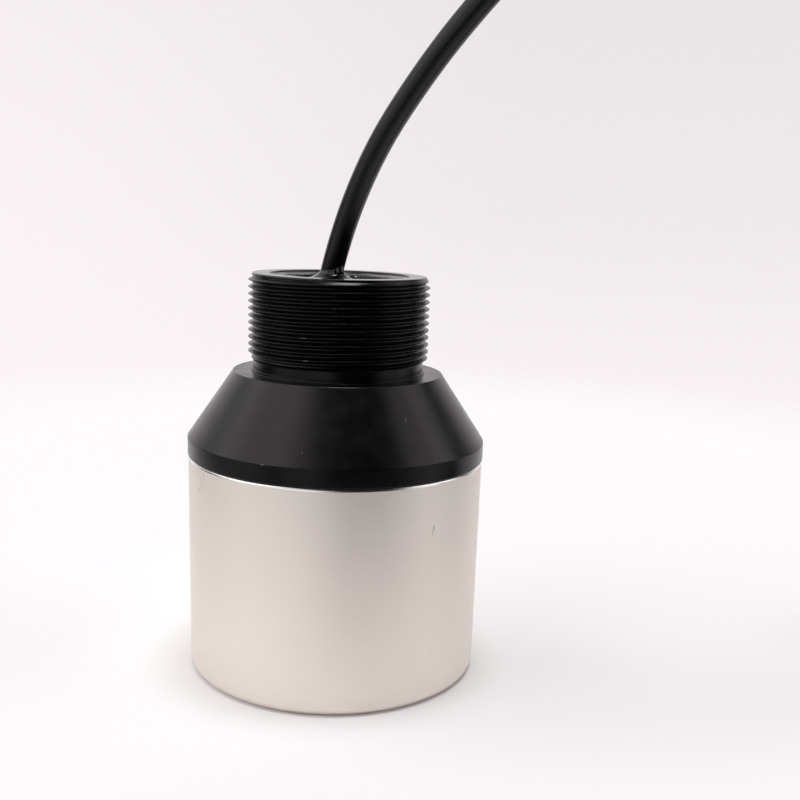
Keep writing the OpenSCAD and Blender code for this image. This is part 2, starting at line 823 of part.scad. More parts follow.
// The cable's last stretch, on top of the coil
module cable_tail() {
    color("dimgray") translate([coil_at[0], coil_at[1], on_coil_z]) rotate([0, 0, tail_starts_at])
        rotate_extrude(angle = tail_sweep) translate([tail_turn_r, 0]) circle(r = cable_r);
}

module coil_tie() {
    inside = [coil_outer_r - coil_inner_r + 2 * lay_gap, coil_top + lay_gap - coil_tie_t];
    outside = inside + 2 * [coil_tie_t, coil_tie_t];
    color("black") translate([coil_at[0], coil_at[1], outside[1] / 2]) at_polar(coil_r, coil_tie_at) {
        rotate([90, 0, 0]) translate([0, 0, -coil_tie_w / 2]) linear_extrude(coil_tie_w) difference() {
            cut_corners(outside[0], outside[1], coil_edge);
            cut_corners(inside[0], inside[1], coil_edge / 2);
        }
        translate([outside[0] / 2 - coil_edge / 2, -tie_head_w / 2, 0])
            cube([tie_head_t, tie_head_w, tie_head_w]);
    }
}

// One stripped core at the cable's far end, drooping on to the coil
module stripped_core(k, lane, radius, bare) {
    face = tail_starts_at + tail_sweep;
    angle = 72 * k + 36;
    out = core_ring_r * cos(angle);
    up = core_ring_r * sin(angle);
    low = coil_top + radius + lay_gap - on_coil_z;
    parts = 12;
    per_mm = 180 / PI / tail_turn_r;
    points = [for (i = [0 : parts])
        let (t = i / parts, aside = eased(t / end_spread), down = eased(t / end_droop))
        on_coil(tail_turn_r + out + (lane * end_step - out) * aside,
            face + (lay_gap + t * end_l) * per_mm,
            on_coil_z + up + (low - up) * down)];
    cut = parts * (1 - bare / end_l);
    tube(points, [for (i = [0 : parts]) i < cut ? radius : bare_r], 8);
}

module end_red() {
    color("red") stripped_core(0, 3, core_r, bare_l);
}

module end_black() {
    color("black") stripped_core(1, 1, core_r, bare_l);
}

module end_white() {
    color("white") stripped_core(2, -1, core_r, bare_l);
}

module end_blue() {
    color("blue") stripped_core(3, 0, core_r, bare_l);
}

module end_drain() {
    color("silver") stripped_core(4, 2, bare_r, end_l);
}

housing_cup();
housing_cap();
housing_seal_ring();
face_bond();
front_mass();
piezo_ring_lower();
electrode_live();
piezo_ring_upper();
electrode_ground();
insulating_sleeve();
tail_mass();
bolt_washer();
clamp_bolt();
foam_jacket();
foam_disc();
circuit_board();
transformer_core_lower();
transformer_core_upper();
transformer_bobbin();
transformer_winding();
transformer_screw();
transformer_nut();
tuning_capacitor();
temperature_sensor();
sensor_wires();
live_lead();
ground_lead();
potting_dam();
potting();
strain_tie();
core_red();
core_black();
core_white();
core_blue();
shield_drain();
cable();
cable_coil();
cable_tail();
coil_tie();
end_red();
end_black();
end_white();
end_blue();
end_drain();
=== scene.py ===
import json
import math
import random

import bmesh
import bpy
from mathutils import Matrix, Vector, noise


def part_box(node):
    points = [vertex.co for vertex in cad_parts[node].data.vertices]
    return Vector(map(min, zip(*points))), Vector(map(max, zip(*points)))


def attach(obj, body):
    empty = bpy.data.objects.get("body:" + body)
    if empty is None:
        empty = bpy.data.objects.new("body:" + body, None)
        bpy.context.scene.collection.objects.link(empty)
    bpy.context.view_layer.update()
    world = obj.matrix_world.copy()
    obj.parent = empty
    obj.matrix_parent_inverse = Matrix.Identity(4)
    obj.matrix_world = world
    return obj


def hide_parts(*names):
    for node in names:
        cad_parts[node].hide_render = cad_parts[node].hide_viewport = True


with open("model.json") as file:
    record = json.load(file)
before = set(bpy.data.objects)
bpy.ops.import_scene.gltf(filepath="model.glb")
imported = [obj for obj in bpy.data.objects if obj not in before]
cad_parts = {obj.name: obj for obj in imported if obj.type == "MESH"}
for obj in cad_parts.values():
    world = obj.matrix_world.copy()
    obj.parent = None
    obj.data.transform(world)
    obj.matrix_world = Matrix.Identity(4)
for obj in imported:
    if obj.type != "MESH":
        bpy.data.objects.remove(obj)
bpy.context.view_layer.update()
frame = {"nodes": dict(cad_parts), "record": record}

MM = 0.001
BODY = "root"
# Sides of a turned surface
SIDES = 240


# The camera

# Where the photograph was taken from, in metres, and how the camera was held, in degrees
CAMERA_AT = Vector((0, -0.3376, 0.15275))
CAMERA_YAW = 3.7017
CAMERA_PITCH = 13.574
CAMERA_ROLL = 2.0112
SENSOR = 36
LENS = 45.6
SHIFT_Y = 0.075


def make_camera():
    """The camera that takes the photograph's view."""
    yaw, pitch, roll = (math.radians(a) for a in (CAMERA_YAW, CAMERA_PITCH, CAMERA_ROLL))
    ahead = Vector((
        math.sin(yaw) * math.cos(pitch), math.cos(yaw) * math.cos(pitch), -math.sin(pitch)))
    level = Vector((math.cos(yaw), -math.sin(yaw), 0))
    upright = level.cross(ahead)
    across = math.cos(roll) * level + math.sin(roll) * upright
    up = math.cos(roll) * upright - math.sin(roll) * level
    data = bpy.data.cameras.new("camera")
    data.sensor_width = SENSOR
    data.lens = LENS
    data.shift_y = SHIFT_Y
    camera = bpy.data.objects.new("camera", data)
    turn = Matrix((across, up, -ahead)).transposed()
    camera.matrix_world = Matrix.Translation(CAMERA_AT) @ turn.to_4x4()
    bpy.context.scene.collection.objects.link(camera)
    bpy.context.scene.camera = camera


make_camera()


# Materials

# The part of a noise's range that nearly all of it lies in
NOISE_LOW, NOISE_HIGH = 0.3, 0.7


def feed(tree, node, inputs):
    """Gives a node's inputs their values, or the sockets that feed them."""
    for key, value in inputs.items():
        if isinstance(value, bpy.types.NodeSocket):
            tree.links.new(value, node.inputs[key])
        else:
            node.inputs[key].default_value = value


def add_node(tree, kind, inputs=None, **settings):
    """A new shader node with its inputs and settings."""
    made = tree.nodes.new(kind)
    for key, value in settings.items():
        setattr(made, key, value)
    feed(tree, made, inputs or {})
    return made


def calc(tree, operation, *values):
    """A Math node's answer."""
    inputs = dict(enumerate(values))
    return add_node(tree, "ShaderNodeMath", inputs, operation=operation).outputs[0]


def spread(tree, value, low, high, to_low, to_high, way="LINEAR"):
    """A value mapped from one range to another."""
    inputs = {
        "Value": value, "From Min": low, "From Max": high, "To Min": to_low, "To Max": to_high}
    return add_node(tree, "ShaderNodeMapRange", inputs, interpolation_type=way).outputs["Result"]


def mixed(tree, share, first, second):
    """Two colours mixed by a share from 0 to 1."""
    made = add_node(tree, "ShaderNodeMix", {0: share, 6: first, 7: second}, data_type="RGBA")
    return made.outputs[2]


def speckle(tree, place, size, detail=2.0):
    """Noise from 0 to 1 whose grains are about size metres across."""
    inputs = {"Vector": place, "Scale": 1 / size, "Detail": detail}
    return add_node(tree, "ShaderNodeTexNoise", inputs).outputs["Fac"]


def shade(colour, factor=1):
    """A colour made lighter or darker, with its alpha."""
    return (*(min(1, c * factor) for c in colour[:3]), 1)


class Finish:
    """A Principled material whose colour, roughness and relief vary from place to place."""

    def __init__(self, name, colour, roughness, metallic=0.0, specular=0.5, gloss=(1, 1, 1)):
        self.material = bpy.data.materials.new(name)
        self.material.use_nodes = True
        self.tree = self.material.node_tree
        self.shader = self.tree.nodes["Principled BSDF"]
        feed(self.tree, self.shader, {
            "Metallic": metallic, "Specular IOR Level": specular, "Specular Tint": (*gloss, 1)})
        self.place = add_node(self.tree, "ShaderNodeTexCoord").outputs["Object"]
        self.base = colour
        self.colour = shade(colour)
        self.roughness = roughness
        self.rough = roughness
        self.relief = []

    def vary(self, size, tone=0.0, rough=0.0, depth=0.0, detail=2.0):
        """Lets one noise change the tone, the roughness and the height of the surface."""
        grain = speckle(self.tree, self.place, size, detail)
        if tone:
            light, dark = (shade(self.base, f) for f in (1 + tone, 1 - tone))
            share = spread(self.tree, grain, NOISE_LOW, NOISE_HIGH, 0, 1)
            self.colour = mixed(self.tree, share, dark, light)
        if rough:
            low, high = self.roughness - rough, self.roughness + rough
            self.rough = spread(self.tree, grain, NOISE_LOW, NOISE_HIGH, low, high)
        if depth:
            self.relief.append((grain, depth))

    def above(self, height, soft=0.1):
        """1 above a height in mm, and 0 below it."""
        z = add_node(self.tree, "ShaderNodeSeparateXYZ", {0: self.place}).outputs["Z"]
        return spread(self.tree, z, (height - soft) * MM, height * MM, 0, 1)

    def mark(self, share, colour, rough, depth=0.0):
        """Paints a worn or polished place where share is 1."""
        self.colour = mixed(self.tree, share, self.colour, shade(colour))
        inputs = {0: share, 2: self.rough, 3: rough}
        self.rough = add_node(self.tree, "ShaderNodeMix", inputs, data_type="FLOAT").outputs[0]
        if depth:
            self.relief.append((share, depth))

    def done(self):
        """Joins the varied values to the shader and gives the material."""
        normal = {}
        for height, depth in self.relief:
            inputs = {"Height": height, "Distance": abs(depth), **normal}
            bump = add_node(self.tree, "ShaderNodeBump", inputs, invert=depth < 0)
            normal = {"Normal": bump.outputs["Normal"]}
        feed(self.tree, self.shader, {
            "Base Color": self.colour, "Roughness": self.rough, **normal})
        return self.material


def worn_place(finish, radius, azimuth, height, long, wide, lean):
    """1 inside a small ellipse on a turned surface, in mm and degrees. It is upright at lean 0."""
    tree = finish.tree
    x, y, z = add_node(tree, "ShaderNodeSeparateXYZ", {0: finish.place}).outputs
    sin, cos = math.sin(math.radians(azimuth)), math.cos(math.radians(azimuth))
    along = calc(tree, "MULTIPLY_ADD", x, -sin, calc(tree, "MULTIPLY", y, cos))
    outward = calc(tree, "MULTIPLY_ADD", x, cos, calc(tree, "MULTIPLY", y, sin))
    flat = add_node(tree, "ShaderNodeCombineXYZ", {0: along, 1: z}).outputs[0]
    inputs = {
        "Vector": flat, "Location": (0, height * MM, 0), "Rotation": (0, 0, math.radians(lean)),
        "Scale": (wide * MM / 2, long * MM / 2, 1)}
    local = add_node(tree, "ShaderNodeMapping", inputs, vector_type="TEXTURE").outputs[0]
    far = add_node(tree, "ShaderNodeVectorMath", {0: local}, operation="LENGTH").outputs["Value"]
    near = spread(tree, far, 0.5, 1, 1, 0, "SMOOTHSTEP")
    facing = calc(tree, "GREATER_THAN", outward, radius * MM / 2)
    return calc(tree, "MULTIPLY", near, facing)


ALUMINIUM = (0.858, 0.80, 0.745)
POLISHED_ALUMINIUM = (0.94, 0.91, 0.88)
SCRATCHED_ALUMINIUM = (0.6, 0.57, 0.52)
CAP_PLASTIC = (0.0016, 0.0015, 0.0015)
CAP_GLOSS = (1, 0.94, 0.925)
CABLE_JACKET = (0.0024, 0.0023, 0.0025)
RESIN = (0.0025, 0.0025, 0.0027)
RED, BLACK = (0.42, 0.012, 0.01), (0.012, 0.012, 0.012)
WHITE, BLUE = (0.74, 0.73, 0.70), (0.015, 0.05, 0.30)
TINNED = (0.62, 0.61, 0.58)


def paint_aluminium():
    """Blasted aluminium with its polished lip and its scratches."""
    finish = Finish("satin_aluminium", ALUMINIUM, 0.54, metallic=1.0)
    finish.vary(0.03, tone=0.012)
    finish.vary(0.00025, rough=0.03, depth=0.000004)
    finish.mark(finish.above(CUP_H - CUP_LIP), POLISHED_ALUMINIUM, rough=0.2)
    for scratch in SCRATCHES:
        place = worn_place(finish, CUP_R, *scratch)
        finish.mark(place, SCRATCHED_ALUMINIUM, rough=0.6, depth=-0.00004)
    return finish.done()


def paint_cap(name, specular):
    """Turned black plastic, with a smoother rim and its nicks and specks."""
    finish = Finish(name, CAP_PLASTIC, 0.25, specular=specular, gloss=CAP_GLOSS)
    finish.vary(0.007, tone=0.25, rough=0.04, detail=4.0)
    finish.vary(0.0005, depth=0.00001, detail=3.0)
    finish.mark(finish.above(RIM_Z - 0.1), CAP_PLASTIC, rough=0.16)
    for *nick, tone in CAP_NICKS:
        finish.mark(worn_place(finish, *nick), (tone, tone, tone), rough=0.55, depth=0.00005)
    return finish.done()


def plain(name, colour, roughness, metallic=0.0, grain=0.0008):
    """A finish for a small or inner piece: a fine grain, and a broad change of tone."""
    finish = Finish(name, colour, roughness, metallic)
    finish.vary(12 * grain, tone=0.1)
    finish.vary(grain, rough=0.2 * roughness, depth=0.00001)
    return finish.done()


# The sizes of the housing, in mm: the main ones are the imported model's

def corner(node, high):
    """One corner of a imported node, in mm."""
    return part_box(node)[high] / MM


CUP_R = corner("housing_cup", 1).x
CUP_H = corner("housing_cup", 1).z
SKIRT_R = corner("housing_cap", 1).x
SPIGOT_Z = corner("housing_cap", 0).z
RIM_Z = corner("housing_cap", 1).z
FACE_T = corner("face_bond", 0).z
DAM_Z = corner("potting", 0).z

# The cup, with the rounds of its lower edge and of its lip
CUP_WALL = 2.5
CUP_EDGE = 3.0
CUP_LIP = 1.0

# The cap's outside: skirt, cone, shoulder, the low collar on it, and the undercut of the neck
SKIRT_H = 5.8
CONE_H = 22.0
SKIRT_Z = CUP_H + SKIRT_H
SHOULDER_Z = SKIRT_Z + CONE_H
SHOULDER_R = 34.7
COLLAR_H = 0.75
COLLAR_R = 28.75
RELIEF_R = 28.2
RIM_ROUND = 0.15

# The cap's inside: its spigot in the cup, the board's ledge, the hollow above it and the bore
SPIGOT_GAP = 0.15
SPIGOT_R = CUP_R - CUP_WALL - SPIGOT_GAP
SEAT_R = 43.8
LEDGE_R = 41.0
LEDGE_Z = 80.3
HOLLOW_FOOT_Z = LEDGE_Z + 6
CEILING_Z = SHOULDER_Z - 4
CEILING_R = LEDGE_R - 4
BORE_R = 22.8
BORE_ROUND = 0.45

# Scratches on the cup: azimuth in degrees, height, length and width in mm, lean in degrees
SCRATCHES = [
    (-147.0, 71.2, 4.6, 0.4, -4), (-148.4, 68.2, 3.8, 0.36, -24), (-150.4, 65.9, 1.2, 0.9, 0),
    (-138.7, 73.3, 0.5, 1.1, 0), (-131.9, 73.2, 0.4, 0.8, 0),
    (-52.2, 58.4, 4.2, 0.6, -4), (-51.9, 59.1, 1.5, 1.0, 0),
    (-51.0, 16.0, 3.4, 0.22, 0), (-75.9, 3.8, 2.0, 0.22, 0)
]
# Specks and nicks on the cap: radius, azimuth, height, length, width, lean and how pale it is
CAP_NICKS = [
    (41, -59.4, 92.2, 1.1, 0.7, 0, 0.09), (45, -137.1, 86.6, 0.8, 0.8, 0, 0.001),
    (47, -102.5, 83.6, 0.6, 0.6, 0, 0.05), (49.7, -116.2, 79.6, 0.5, 2.2, 0, 0.09),
    (49.2, -38.8, 80.6, 0.7, 0.6, 0, 0.001), (29.8, -111.3, 115.3, 0.35, 3.0, 0, 0.12),
    (29.8, -109.6, 108.4, 0.35, 2.4, 0, 0.14), (29.8, -93.0, 124.6, 0.3, 1.4, 0, 0.05),
    (28.6, -41.6, 133.1, 0.5, 0.9, 0, 0.001)
]


# Turned meshes

def rounded(corners, steps=5):
    """A closed outline of (radius, height) through (radius, height, fillet) corners."""
    outline = []
    for i, (r, z, fillet) in enumerate(corners):
        here = Vector((r, z))
        before = (Vector(corners[i - 1][:2]) - here).normalized()
        after = (Vector(corners[(i + 1) % len(corners)][:2]) - here).normalized()
        half = before.angle(after) / 2
        if not fillet:
            outline.append(here)
            continue
        middle = here + (before + after).normalized() * fillet / math.sin(half)
        first = here + before * fillet / math.tan(half) - middle
        last = here + after * fillet / math.tan(half) - middle
        outline += [middle + fillet * first.slerp(last, s / steps) for s in range(steps + 1)]
    return outline


def around(r, a, z):
    """A point at a radius, an angle and a height."""
    return Vector((r * math.cos(a), r * math.sin(a), z))


def wall(rings, flip=False):
    """Faces between rings of as many points each. A ring of one repeated point is a middle."""
    faces = []
    for low, high in zip(rings, rings[1:]):
        for k in range(len(low)):
            m = (k + 1) % len(low)
            corners = (low[k], low[m], high[m], high[k])
            if flip:
                corners = (low[k], high[k], high[m], low[m])
            face = list(dict.fromkeys(corners))
            if len(face) > 2:
                faces.append(face)
    return faces


def lathe(outline, closed=True):
    """Points and faces of an outline turned about Z.

    It runs anticlockwise in the half plane whose left edge is the axis.
    """
    points, rings = [], []
    for r, z in outline:
        count = SIDES if r > 0 else 1
        first = len(points)
        points += [around(r, math.tau * k / SIDES, z) * MM for k in range(count)]
        rings.append([first + k % count for k in range(SIDES)])
    return points, wall(rings + rings[:1] if closed else rings)


def mesh_of(name, *parts):
    """One smooth mesh of several (points, faces) parts."""
    points, faces = [], []
    for more_points, more_faces in parts:
        first = len(points)
        points += more_points
        faces += [[first + i for i in face] for face in more_faces]
    mesh = bpy.data.meshes.new(name)
    mesh.from_pydata(points, [], faces)
    mesh.shade_smooth()
    return mesh


def add_piece(name, data, material, nodes, sharp=None):
    """A piece of the object, in the frame, which rides on the body and replaces nodes.

    A mesh gets hard edges where its faces meet at more than sharp, in degrees.
    """
    piece = bpy.data.objects.new(name, data)
    bpy.context.scene.collection.objects.link(piece)
    data.materials.append(material)
    if sharp is not None:
        data.set_sharp_from_angle(angle=math.radians(sharp))
        even = piece.modifiers.new("even_normals", "WEIGHTED_NORMAL")
        even.keep_sharp = True
    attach(piece, BODY)
    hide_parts(*nodes)
    return piece


def paint_between(mesh, material, bands):
    """Gives a second material to the faces whose middles lie in these bands of height, in mm."""
    mesh.materials.append(material)
    for face in mesh.polygons:
        if any(low < face.center.z / MM < high for low, high in bands):
            face.material_index = len(mesh.materials) - 1


def make_cup():
    """The cup: one turned shell whose closed end is the radiating face."""
    bore = CUP_R - CUP_WALL
    outline = rounded([
        (0, 0, 0), (CUP_R, 0, CUP_EDGE), (CUP_R, CUP_H, CUP_LIP), (bore, CUP_H, 0.1),
        (bore, FACE_T, 0.4), (0, FACE_T, 0)
    ], steps=8)
    mesh = mesh_of("cup_shell", lathe(outline))
    add_piece("cup_shell", mesh, paint_aluminium(), ["housing_cup"], 40)


# The cap and its thread

# A 2 inch pipe thread, with its crest a little sharper and its root a little rounder than standard
PITCH = 2.309
CREST_R = 29.8
THREAD_DEPTH = 1.479
FLANK = math.radians(27.5)
CREST_ROUND = 0.17
ROOT_ROUND = 0.4635
CREST_EDGE = CREST_ROUND * math.cos(FLANK)
ROOT_EDGE = ROOT_ROUND * math.cos(FLANK)
# How far across a crest's or a root's round the mesh has its lines
ACROSS_ROUND = (0.42, 0.75)
# The near side, as a share of a turn from +X, and the height of a crest there
NEAR_SIDE = 0.75
FRONT_CREST_Z = 129.3
TURNS = 14
# The thread's ends: where its mesh starts and stops, where it runs out below, and where its
# section has become the chamfer above
THREAD_FOOT_Z = 104.0
THREAD_TOP_Z = RIM_Z - 0.3
RUNOUT = (104.9, 107.2)
MOUTH_BLEND = 0.8
CHAMFER_W = 1.4
CHAMFER_H = 2.2


def chamfer_r(z):
    """The radius of the chamfer at the neck's mouth."""
    return CREST_R - CHAMFER_W + (RIM_Z - z) * CHAMFER_W / CHAMFER_H


def eased(t):
    """A smooth step from 0 to 1."""
    t = min(1, max(0, t))
    return t * t * (3 - 2 * t)


def ridge_height(u):
    """Height of the thread above its root, u mm from the middle of a crest."""
    u = abs(u)
    if u < CREST_EDGE:
        return THREAD_DEPTH - CREST_ROUND + math.sqrt(CREST_ROUND ** 2 - u * u)
    if PITCH / 2 - u < ROOT_EDGE:
        return ROOT_ROUND - math.sqrt(ROOT_ROUND ** 2 - (PITCH / 2 - u) ** 2)
    start = CREST_ROUND * (1 - math.sin(FLANK))
    return THREAD_DEPTH - start - (u - CREST_EDGE) / math.tan(FLANK)


def thread_r(u, z):
    """Radius of the neck's surface at a height, u mm from the middle of a crest."""
    full = eased((z - RUNOUT[0]) / (RUNOUT[1] - RUNOUT[0]))
    root = CREST_R - THREAD_DEPTH
    r = RELIEF_R + (root - RELIEF_R) * full + ridge_height(u) * full
    top = chamfer_r(z)
    mouth = eased((z - THREAD_TOP_Z + MOUTH_BLEND) / MOUTH_BLEND)
    return min(r, top) + (top - min(r, top)) * mouth


def neck_thread():
    """Points and faces of one right-hand helical ridge, between two level rings."""
    near, far = ACROSS_ROUND
    half = [0, near * CREST_EDGE, far * CREST_EDGE, CREST_EDGE, PITCH / 4, PITCH / 2 - ROOT_EDGE,
            PITCH / 2 - far * ROOT_EDGE, PITCH / 2 - near * ROOT_EDGE]
    lanes = sorted([-PITCH / 2] + [-u for u in half[1:]] + half)
    rows = [(t, u) for t in range(TURNS) for u in lanes]
    lowest = FRONT_CREST_Z - (TURNS - 2) * PITCH
    built = bmesh.new()
    grid = []
    for t, u in rows:
        line = []
        for k in range(SIDES):
            turn = k / SIDES
            z = lowest + (t + turn) * PITCH + u
            place = around(thread_r(u, z), math.tau * (turn + NEAR_SIDE), z)
            line.append(built.verts.new(place * MM))
        grid.append(line)
    for j in range(len(rows) - 1):
        for k in range(SIDES - 1):
            built.faces.new((grid[j][k], grid[j][k + 1], grid[j + 1][k + 1], grid[j + 1][k]))
        if j + 1 + len(lanes) < len(rows):
            low, high = grid[j + len(lanes)], grid[j + 1 + len(lanes)]
            built.faces.new((grid[j][-1], low[0], high[0], grid[j + 1][-1]))
    for z, way in ((THREAD_FOOT_Z, -1), (THREAD_TOP_Z, 1)):
        whole = built.verts[:] + built.edges[:] + built.faces[:]
        bmesh.ops.bisect_plane(
            built, geom=whole, plane_co=(0, 0, z * MM), plane_no=(0, 0, way), clear_outer=True)
    built.verts.index_update()
    points = [v.co.copy() for v in built.verts]
    faces = [[v.index for v in f.verts] for f in built.faces]
    built.free()
    return points, faces


def make_cap():
    """The cap: skirt, cone, shoulder and neck outside, then the bore and the hollow inside."""
    spigot_round = 0.2
    body = rounded([
        (SPIGOT_R, SPIGOT_Z, spigot_round), (SPIGOT_R, CUP_H, 0), (SKIRT_R, CUP_H, 0.3),
        (SKIRT_R, SKIRT_Z, 0.5), (SHOULDER_R, SHOULDER_Z, 0.35), (COLLAR_R, SHOULDER_Z, 0.15),
        (COLLAR_R, SHOULDER_Z + COLLAR_H, 0.18), (RELIEF_R, SHOULDER_Z + COLLAR_H, 0.15),
        (RELIEF_R, THREAD_FOOT_Z, 0)
    ])
    mouth = rounded([
        (chamfer_r(THREAD_TOP_Z), THREAD_TOP_Z, 0), (chamfer_r(RIM_Z), RIM_Z, RIM_ROUND),
        (BORE_R, RIM_Z, BORE_ROUND), (BORE_R, CEILING_Z, 0.2), (CEILING_R, CEILING_Z, 0.5),
        (LEDGE_R, HOLLOW_FOOT_Z, 0.5), (LEDGE_R, LEDGE_Z, 0.2), (SEAT_R, LEDGE_Z, 0.2),
        (SEAT_R, SPIGOT_Z, 0.2), (SPIGOT_R - spigot_round, SPIGOT_Z, 0)
    ])
    outside, inside = lathe(body, closed=False), lathe(mouth, closed=False)
    mesh = mesh_of("cap_shell", outside, neck_thread(), inside)
    black = paint_cap("black_plastic", specular=0.4)
    add_piece("cap_shell", mesh, black, ["housing_cap"], 50)
    # The skirt and the neck's side get a copy of the plastic with half the specular level: painted
    # shade, which makes them darker than the cone
    shaded_copy = paint_cap("shade_painted_black_plastic", specular=0.2)
    neck_foot, neck_top = SHOULDER_Z + 0.1, RIM_Z - CHAMFER_H / 2
    paint_between(mesh, shaded_copy, [(CUP_H, SKIRT_Z), (neck_foot, neck_top)])


# The cable: its route, in mm, and the coil that it ends in

CABLE_D = 7.5
JACKET_RESOLUTION = 12
ROUTE = [Vector(p) for p in (
    (-8, 9, 110), (-2, 3, 137), (4.1, -2.6, 157), (12.1, -9.4, 175), (22.8, -16.9, 192.2),
    (34.8, -25, 208.1), (48.6, -33, 223), (67, -40, 237), (89, -44, 245.8), (113.5, -45, 245.8),
    (136.5, -44.5, 236), (154.5, -44, 217.5), (167, -44, 190), (174.5, -44, 158),
    (178.7, -44, 124), (181.5, -44.2, 92), (185.5, -44.5, 64), (195, -45, 42),
    (209, -45.4, 30), (221.5, -45.6, 26.8)
)]
COIL_LOW = corner("cable_coil", 0)
COIL_HIGH = corner("cable_coil", 1)
COIL_AT = (COIL_LOW + COIL_HIGH) / 2
OUTER_TURN_R = (COIL_HIGH.x - COIL_LOW.x - CABLE_D) / 2
LAY_GAP = 0.1

# The winding counts in degrees, on from turn to turn, and has two columns of four layers. The
# cable lands on top of the outer column, goes down it, moves in, and climbs the inner column.
# Layers are heights in diameters. Each change of layer or column takes CHANGE degrees.
BOTTOM_LAYER = 0.5
TOP_LAYER = 3.5
LANDS_AT = 262
LANDING_STEP = 17
CHANGE = 70
LAYER_CHANGES = [(260, -1), (620, -1), (980, -1), (1560, 1), (1920, 1), (2280, 1)]
MOVES_IN = 1270
WIND_TO = 2495
WIND_STEP = 5
# The last stretch lies a little further in, clear of where the cable lands
LAST_FROM = WIND_TO - 145
LAST_CHANGE = 20
LAST_IN = 4 * LAY_GAP
# The tie goes under the coil, so the turns rise over it
TIE_AT = 60
TIE_T = 1.0
TIE_W = 4.8
TIE_REACH = 14


def coil_point(angle):
    """A point of the cable in the coil. The angle counts on from turn to turn."""
    layer = TOP_LAYER
    for start, way in LAYER_CHANGES:
        layer += way * eased((angle - start) / CHANGE)
    r = OUTER_TURN_R - CABLE_D * eased((angle - MOVES_IN) / CHANGE)
    z = layer * CABLE_D + LAY_GAP * eased(layer - TOP_LAYER + 1)
    aside = abs((angle - TIE_AT + 180) % 360 - 180)
    depth = 1 - (layer - BOTTOM_LAYER) / (TOP_LAYER - BOTTOM_LAYER)
    lift = (TIE_T + LAY_GAP) * depth * eased(1 - aside / TIE_REACH)
    r -= LAST_IN * eased((angle - LAST_FROM) / LAST_CHANGE)
    return Vector((*COIL_AT.xy, 0)) + around(r, math.radians(angle), z + max(0, lift))


def smooth_line(points, steps):
    """Points along a Catmull-Rom curve through points."""
    line, last = [], len(points) - 1
    for i in range(last):
        a, b, c, d = (points[min(max(j, 0), last)] for j in (i - 1, i, i + 1, i + 2))
        for s in range(steps):
            t = s / steps
            line.append(0.5 * (2 * b + (c - a) * t + (2 * a - 5 * b + 4 * c - d) * t * t
                               + (3 * b - a - 3 * c + d) * t ** 3))
    return line + [points[-1]]


def cable_line():
    """The whole cable's centreline, from inside the potting to the coil's end."""
    fine = 8
    landing = [coil_point(LANDS_AT + LANDING_STEP * i) for i in range(3)]
    arch = smooth_line(ROUTE + landing, fine)[fine:-fine]
    down = [ROUTE[0].lerp(ROUTE[1], s / 6) for s in range(6)]
    first = LANDS_AT + LANDING_STEP + WIND_STEP
    turns = [coil_point(a) for a in range(first, WIND_TO, WIND_STEP)]
    return down + arch + turns + [coil_point(WIND_TO)]


def paint_cable():
    """Black jacket, with the fine grain of extruded plastic."""
    finish = Finish("black_jacket", CABLE_JACKET, 0.29, specular=0.36)
    finish.vary(0.006, tone=0.25)
    finish.vary(0.0005, rough=0.06, depth=0.00002, detail=3.0)
    return finish.done()


def make_cable():
    """The cable as one curve, which replaces its three nodes."""
    line = [p * MM for p in cable_line()]
    data = bpy.data.curves.new("cable_lead", "CURVE")
    data.dimensions = "3D"
    data.bevel_depth = CABLE_D / 2 * MM
    data.bevel_resolution = JACKET_RESOLUTION
    data.use_fill_caps = True
    spline = data.splines.new("POLY")
    spline.points.add(len(line) - 1)
    for point, place in zip(spline.points, line):
        point.co = (*place, 1)
    spline.use_smooth = True
    nodes = ["cable", "cable_coil", "cable_tail"]
    return add_piece("cable_lead", data, paint_cable(), nodes)


# The potting in the neck

# Its heights at the bore, at the lip and in the sunk middle
POTTING_EDGE_Z = RIM_Z - 0.45
POTTING_LIP_Z = RIM_Z - 1.3
POTTING_PIT_Z = RIM_Z - 2.1
WALL_R = BORE_R - 0.02
POTTING_SIDES = 256
FLARE_ROWS, PIT_ROWS, LIP_ROWS, RIM_ROWS = 16, 18, 8, 12
CABLE_WAY = (ROUTE[1] - ROUTE[0]).normalized()

# The flare around the cable
FLARE_GAP = 0.04
FLARE_W = 7.0
FLARE_H = 3.2
FLARE_POWER = 0.85
FLARE_ROUGH = 0.05
FLARE_UNEVEN = 0.25
# The resin climbs highest on the cable's right front, where it dried in wrinkles and a bead
CLIMB_AT = math.radians(-50)
CLIMB_H = 1.5
CLIMB_SPREAD = math.radians(55)
WRINKLE = 0.28
WRINKLE_FOLD = 1.5
WRINKLES_FROM = 0.05
WRINKLES_AROUND = 5
WRINKLES_UP = 1.9
BEAD_Z = RIM_Z + 1.35
BEAD_R = 1.35
BEAD_OUT = 0.65

# The rough sunk middle, and the lip at its edge, which wanders in and out
PIT_ROUGH = 0.2
LIP_IN_R = 17.1
LIP_OUT_R = 18.18
LIP_WANDERS = 0.8
RIM_ROUGH = 0.05
# The noise of rough places: how fast it changes with a mm, its share, and its level in the noise
ROUGH_NOISE = [(0.8, 0.7, 0), (2.3, 0.5, 5)]
# The noises that run around the cable or the lip: their circle's radius and level in the noise
FLARE_NOISE = (1.6, 8)
LIP_NOISE = (2.2, 3.1)
# Bubbles that burst: how many, where, how large, how deep, and the least roughness they need
BUBBLES = 60
BUBBLE_SEED = 11
BUBBLES_BETWEEN = (9, 18.4)
BUBBLE_R = (0.3, 0.75)
BUBBLE_DEPTH = 0.7
BUBBLE_ROUGH = 0.02
# Faces up to this height, in the middle and on the bore's wall, have the rougher resin whose low
# specular level is painted shade
SHADED_RESIN_Z = POTTING_PIT_Z + 0.35


def on_cable_axis(z):
    """The middle of the cable where it passes a height."""
    return ROUTE[0] + CABLE_WAY * (z - ROUTE[0].z) / CABLE_WAY.z


